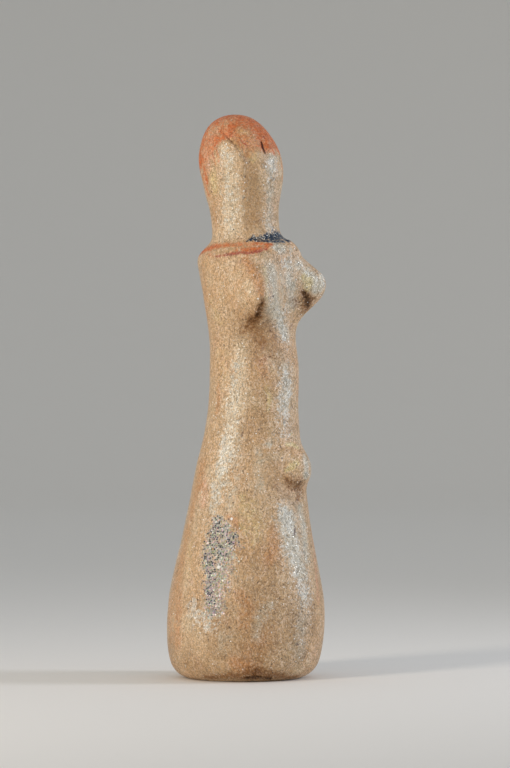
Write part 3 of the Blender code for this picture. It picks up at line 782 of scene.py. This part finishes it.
def micaceousEarthenware():
    material = bpy.data.materials.new("micaceous earthenware")
    material.use_nodes = True
    shader = material.node_tree.nodes["Principled BSDF"]
    add = partial(addNode, material.node_tree)
    link = material.node_tree.links.new
    colours = {name: hexColour(code) for name, code in clay["colours"].items()}
    place = add("TexCoord", out="Object")
    perMm = 1000.0
    smooth = {"interpolation_type": "SMOOTHSTEP"}
    colourMix = {"data_type": "RGBA"}       # its colours are sockets 6 and 7, and its result is 2
    multiply = {"operation": "MULTIPLY"}
    multiplyAdd = {"operation": "MULTIPLY_ADD"}
    lessThan = {"operation": "LESS_THAN"}
    maximum = {"operation": "MAXIMUM"}
    subtract = {"operation": "SUBTRACT"}
    scale = {"operation": "SCALE"}
    evenly = (0.5, 0.5, 0.5)                # taken from a random colour, it leaves a random direction

    clouds = {}
    for name, (sizeMm, detail, rough) in clay["clouds"].items():
        clouds[name] = add("TexNoise", {}, {
            "Vector": place, "Scale": perMm / sizeMm, "Detail": detail, "Roughness": rough})

    # Clay body
    colour = colours["tan"]
    for cloud, start, end, strength, name in clay["tones"]:
        share = add("MapRange", smooth, {
            "Value": clouds[cloud], "From Min": start, "From Max": end, "To Max": strength})
        colour = add("Mix", colourMix, {"Factor": share, 6: colour, 7: colours[name]}, 2)

    # The breaking up of every painted edge: half from the coarser pattern, half from the grit
    ragged = add("Math", {"operation": "ADD"}, {0: clouds["edge"], 1: clouds["grit"]})
    ragged = add("Math", subtract, {0: ragged, 1: 1.0})

    masks = {}
    for name, raggedness, start, end, strength, thin, thick in clay["layers"]:
        painted = add("Attribute", {"attribute_name": name}, {}, "Fac")
        laid = add("Math", multiplyAdd, {0: ragged, 1: raggedness, 2: painted})
        most = add("Math", multiply, {0: painted, 1: clay["edgeGain"]})
        laid = add("Math", {"operation": "MINIMUM"}, {0: laid, 1: most})
        masks[name] = add("MapRange", smooth, {"Value": laid, "From Min": start, "From Max": end})
        coat = add("Mix", colourMix, {"Factor": masks[name], 6: colours[thin], 7: colours[thick]}, 2)
        share = add("Math", multiply, {0: masks[name], 1: strength})
        colour = add("Mix", colourMix, {"Factor": share, 6: colour, 7: coat}, 2)
        if name == "abraded":   # dark flecks and pale ones left standing in the worn patch
            crumb = add("TexVoronoi", {}, {"Vector": place, "Scale": perMm / clay["crumbMm"]})
            kinds = add("SeparateColor", {}, {"Color": crumb.node.outputs["Color"]}).node.outputs
            rim, middle = clay["crumbEdge"]
            crumb = add("MapRange", smooth, {"Value": crumb, "From Min": rim, "From Max": middle})
            for kind, (crumbColour, (where, most)) in zip(kinds, clay["crumbs"].items()):
                most = add("Math", multiply, {0: masks[where], 1: most})
                chosen = add("Math", lessThan, {0: kind, 1: most})
                chosen = add("Math", multiply, {0: chosen, 1: crumb})
                colour = add("Mix", colourMix, {"Factor": chosen, 6: colour, 7: colours[crumbColour]}, 2)

    # Hair-fine wiping marks that lie several ways, raised or pressed in, with a painted highlight on the
    # raised ones and painted shade in the pressed ones
    curl = add("TexNoise", {}, {"Vector": place, "Scale": perMm / clay["warpMm"], "Detail": 1}, "Color")
    curl = add("VectorMath", subtract, {0: curl, 1: evenly})
    curled = add("VectorMath", multiplyAdd, {0: curl, 1: [clay["warpReachMm"] / perMm] * 3, 2: place})
    rim, middle = clay["strandEdge"]
    strands = 0.0
    for turn in clay["strandTurns"]:
        laid = add("Mapping", {}, {
            "Vector": curled, "Rotation": (0, math.radians(turn), math.radians(-seenView["bearing"]))})
        laid = add("VectorMath", multiply, {0: laid, 1: (1, 1, clay["strandWide"] / clay["strandLong"])})
        cell = add("TexVoronoi", {}, {"Vector": laid, "Scale": perMm / clay["strandWide"]})
        mark = add("MapRange", smooth, {"Value": cell, "From Min": rim, "From Max": middle})
        tone = add("SeparateColor", {}, {"Color": cell.node.outputs["Color"]})
        tone = add("MapRange", {}, {"Value": tone, "To Min": -1.0, "To Max": 1.0})
        strands = add("Math", multiplyAdd, {0: mark, 1: tone, 2: strands})
    hidden = add("Math", maximum, {0: masks["ochre"], 1: masks["residue"]})
    rubbed = add("Attribute", {"attribute_name": "rubbed"}, {}, "Fac")
    hidden = add("Math", maximum, {0: hidden, 1: rubbed})
    bare = add("MapRange", {}, {"Value": hidden, "To Min": 1.0, "To Max": clay["strandOnPaint"]})
    strandTone = add("MapRange", smooth, {
        "Value": strands, "From Min": -1.0, "From Max": 1.0, "To Min": -1.0, "To Max": 1.0})
    strandTone = add("Math", multiply, {0: strandTone, 1: bare})
    under = add("VectorMath", {"operation": "DOT_PRODUCT"}, {0: colour, 1: clay["brightness"]}, "Value")
    # painted highlight on the raised marks, cool and scaled by the clay's brightness
    markHighlight = add("Math", maximum, {0: strandTone, 1: 0.0})
    markHighlight = add("Math", multiply, {0: markHighlight, 1: under})
    markHighlight = add("VectorMath", scale, {0: colours["strandHighlight"][:3], "Scale": markHighlight})
    # painted shade in the pressed marks
    shade = add("Math", {"operation": "MINIMUM"}, {0: strandTone, 1: 0.0})
    shade = add("Math", multiplyAdd, {0: shade, 1: clay["strandShade"], 2: 1.0})
    colour = add("VectorMath", scale, {0: colour, "Scale": shade})
    colour = add("VectorMath", {"operation": "ADD"}, {0: colour, 1: markHighlight})

    # Sand grains, each with its own tone and its own small tilt
    grains = add("TexVoronoi", {}, {"Vector": place, "Scale": perMm / clay["grainMm"]}, "Color")
    grainTone = add("SeparateColor", {}, {"Color": grains})
    shade = add("MapRange", {}, {
        "Value": grainTone, "To Min": 1 - clay["grainContrast"], "To Max": 1 + clay["grainContrast"]})
    colour = add("VectorMath", scale, {0: colour, "Scale": shade})

    hue = add("VectorMath", subtract, {0: grains, 1: evenly})
    most = add("Math", multiply, {0: masks["abraded"], 1: clay["wearHue"]})
    hue = add("VectorMath", scale, {0: hue, "Scale": most})
    colour = add("VectorMath", multiplyAdd, {0: colour, 1: hue, 2: colour})

    # Dark specks, few and small
    specks = add("TexVoronoi", {}, {"Vector": place, "Scale": perMm / clay["speckMm"]})
    speckTone = add("SeparateColor", {}, {"Color": specks.node.outputs["Color"]})
    pepper = add("Attribute", {"attribute_name": "peppered"}, {}, "Fac")
    speckShare = add("Math", multiplyAdd, {0: pepper, 1: clay["speckInPepper"], 2: clay["speckShare"]})
    chosen = add("Math", lessThan, {0: speckTone, 1: speckShare})
    rim, middle = clay["speckEdge"]
    speck = add("MapRange", smooth, {"Value": specks, "From Min": rim, "From Max": middle})
    speck = add("Math", multiply, {0: speck, 1: chosen})
    share = add("Math", multiply, {0: speck, 1: clay["speckStrength"]})
    colour = add("Mix", colourMix, {"Factor": share, 6: colour, 7: colours["speck"]}, 2)

    # Mica flakes, more of them where highlights are painted, and the glints seen in the picture painted in
    # near-white
    cell = add("TexVoronoi", {}, {"Vector": place, "Scale": perMm / clay["flakeMm"]})
    flakeSide = cell.node.outputs["Color"]
    flakeTone = add("SeparateColor", {}, {"Color": flakeSide}, "Blue")
    # the painted highlights, where more flakes and painted glints go
    highlit = add("Math", maximum, {0: masks["bloom"], 1: masks["cream"]})
    flakeShare = add("Math", multiplyAdd, {0: highlit, 1: clay["flakeInHighlight"], 2: clay["flakeShare"]})
    flakeShare = add("Math", multiplyAdd, {0: masks["residue"], 1: clay["flakeInResidue"], 2: flakeShare})
    flake = add("Math", lessThan, {0: flakeTone, 1: flakeShare})
    rim, middle = clay["flakeEdge"]
    core = add("MapRange", smooth, {"Value": cell, "From Min": rim, "From Max": middle})
    flake = add("Math", multiply, {0: flake, 1: core})
    glint = add("Attribute", {"attribute_name": "glint"}, {}, "Fac")
    rim, middle = clay["glintEdge"]
    glint = add("MapRange", smooth, {"Value": glint, "From Min": rim, "From Max": middle})
    share = add("MapRange", {}, {
        "Value": masks["residue"], "To Min": clay["micaStrength"], "To Max": clay["micaOnResidue"]})
    share = add("Math", multiply, {0: share, 1: flake})
    # soot, painted shade and the red paint dull the clay and hide its mica
    covered = add("Math", {"operation": "ADD", "use_clamp": True}, {
        0: masks["sootFade"], 1: masks["ochre"]})
    plain = add("MapRange", {}, {"Value": covered, "To Min": 1.0, "To Max": clay["micaUnderPaint"]})
    share = add("Math", multiply, {0: share, 1: plain})
    colour = add("Mix", colourMix, {"Factor": share, 6: colour, 7: colours["mica"]}, 2)
    # painted glints: a few flake cells, more in the painted highlights, turned near-white
    sparkTone = add("SeparateColor", {}, {"Color": flakeSide}, "Green")
    sparkShare = add("Math", multiplyAdd, {0: highlit, 1: clay["sparkInHighlight"], 2: clay["sparkShare"]})
    sparkShare = add("Math", multiplyAdd, {0: masks["residue"], 1: clay["sparkInResidue"], 2: sparkShare})
    spark = add("Math", lessThan, {0: sparkTone, 1: sparkShare})
    spark = add("Math", multiply, {0: spark, 1: core})
    spark = add("Math", multiply, {0: spark, 1: plain})
    colour = add("Mix", colourMix, {"Factor": spark, 6: colour, 7: colours["glint"]}, 2)
    colour = add("Mix", colourMix, {"Factor": glint, 6: colour, 7: colours["glint"]}, 2)
    link(colour, shader.inputs["Base Color"])

    # Relief of strands, grit and grains, over a normal that each grain and flake tips its own way
    height = clouds["grit"]
    for pattern, rise in zip((strands, grainTone, clouds["dent"], speck), clay["relief"].values()):
        height = add("Math", multiplyAdd, {0: pattern, 1: rise, 2: height})
    tilt = add("Mix", {}, {"Factor": flake, 2: clay["grainTilt"], 3: clay["flakeTilt"]})
    way = add("Mix", colourMix, {"Factor": flake, 6: grains, 7: flakeSide}, 2)
    way = add("VectorMath", subtract, {0: way, 1: evenly})
    way = add("VectorMath", scale, {0: way, "Scale": tilt})
    outward = add("NewGeometry", out="Normal")
    tipped = add("VectorMath", {"operation": "ADD"}, {0: outward, 1: way})
    tipped = add("VectorMath", {"operation": "NORMALIZE"}, {0: tipped})
    relief = add("Bump", {}, {
        "Strength": 1.0, "Distance": clay["bumpMm"] / perMm, "Height": height, "Normal": tipped})
    link(relief, shader.inputs["Normal"])

    dull = add("Math", multiplyAdd, {0: covered, 1: clay["roughnessOfPaint"], 2: clay["roughness"]})
    sway = clay["roughnessSway"]
    uneven = add("MapRange", {}, {"Value": clouds["mottle"], "To Min": -sway, "To Max": sway})
    dull = add("Math", {"operation": "ADD"}, {0: dull, 1: uneven})
    dull = add("Mix", {}, {"Factor": flake, 2: dull, 3: clay["flakeRoughness"]})
    link(dull, shader.inputs["Roughness"])
    # flakes turn partly metallic where highlight and bloom are painted
    metal = add("Math", multiply, {0: flake, 1: masks["bloom"]})
    metal = add("Math", multiply, {0: metal, 1: clay["metal"]["flake"]})
    metal = add("Math", multiplyAdd, {0: masks["residue"], 1: clay["metal"]["residue"], 2: metal})
    # soot and painted shade turn partly metallic, which darkens their reflection
    metal = add("Math", {"operation": "MULTIPLY_ADD", "use_clamp": True}, {
        0: masks["soot"], 1: clay["metal"]["soot"], 2: metal})
    link(metal, shader.inputs["Metallic"])
    shader.inputs["Specular IOR Level"].default_value = clay["shine"]
    return material


skinMesh.materials.append(micaceousEarthenware())
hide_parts("clay_doll")
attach(skin, "root")
print("clay laid on")
